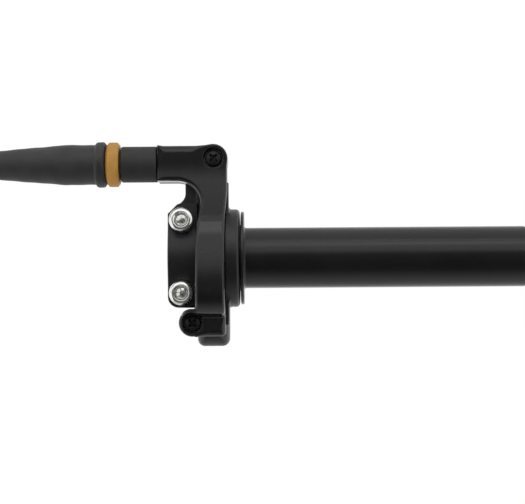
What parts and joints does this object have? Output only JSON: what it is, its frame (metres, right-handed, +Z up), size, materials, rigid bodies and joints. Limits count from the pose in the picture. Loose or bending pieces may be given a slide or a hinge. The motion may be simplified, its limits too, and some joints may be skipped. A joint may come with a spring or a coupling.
{
  "type": "motorcycle throttle grip",
  "caption": "Twist throttle for a handlebar: two-piece clamp housing with front cover, twist tube with cable drum, cable adjuster with lock nut and rubber boot.",
  "frame": {"origin": "on the handlebar's axis, at the inboard face of the clamp", "axes": "+X along the handlebar towards the tube's open end, -Y towards the rider, +Z up"},
  "size_m": [0.2497, 0.0478, 0.085],
  "materials": {
    "housing_paint": "satin black",
    "cover_gloss": "gloss black",
    "black_steel": "black oxide",
    "bolt_chrome": "polished",
    "plain_steel": "ground",
    "white_plastic": "matte",
    "sleeve_black": "matte",
    "bush_bronze": "sintered",
    "seal_rubber": "matte",
    "seal_felt": "felt",
    "tube_plastic": "satin",
    "drum_plastic": "smooth",
    "gold_anodised": "anodised",
    "boot_rubber": "matte"
  },
  "bodies": {
    "housing": {"housing_front": "housing_paint", "housing_rear": "housing_paint", "front_cover": "cover_gloss", "cover_gasket": "seal_rubber", "cover_screws": "black_steel", "clamp_bolts": "bolt_chrome", "locating_dowels": "plain_steel", "cable_guide": "white_plastic", "outlet_sleeve": "sleeve_black", "sleeve_key": "plain_steel", "thrust_washer": "white_plastic", "neck_bush": "bush_bronze", "dust_seal": "seal_rubber", "bar_seal": "seal_felt"},
    "twist_tube": {"throttle_tube": "tube_plastic", "cable_drum": "drum_plastic", "drum_screws": "plain_steel", "stop_pin": "plain_steel"},
    "lock_nut": {"lock_nut": "gold_anodised"},
    "casing_seat": {"ferrule_seat": "plain_steel"},
    "adjuster": {"adjuster_barrel": "gold_anodised", "barrel_clip": "plain_steel"},
    "boot": {"cable_boot": "boot_rubber"}
  },
  "joints": [
    {"name": "throttle_twist", "type": "hinge", "parent": "housing", "child": "twist_tube", "pos_m": [0.0183, 0, 0], "axis": [1, 0, 0], "range_deg": [0, 75]},
    {"name": "lock_nut_turn", "type": "hinge", "parent": "housing", "child": "lock_nut", "pos_m": [-0.0226, -0.01, 0.0387], "axis": [1, 0, 0], "range_deg": [0, 180]},
    {"name": "adjuster_travel", "type": "slide", "parent": "housing", "child": "casing_seat", "axis": [-1, 0, 0], "range_m": [0, 0.008]},
    {"name": "adjuster_turn", "type": "hinge", "parent": "casing_seat", "child": "adjuster", "pos_m": [-0.03, -0.01, 0.0387], "axis": [1, 0, 0], "range_deg": [0, 2880]},
    {"name": "boot_pull_back", "type": "slide", "parent": "casing_seat", "child": "boot", "axis": [-1, 0, 0], "range_m": [0, 0.025]}
  ],
  "couplings": [
    {"joint": "adjuster_travel", "follows": "adjuster_turn", "m_per_rad": 0.00015915}
  ]
}
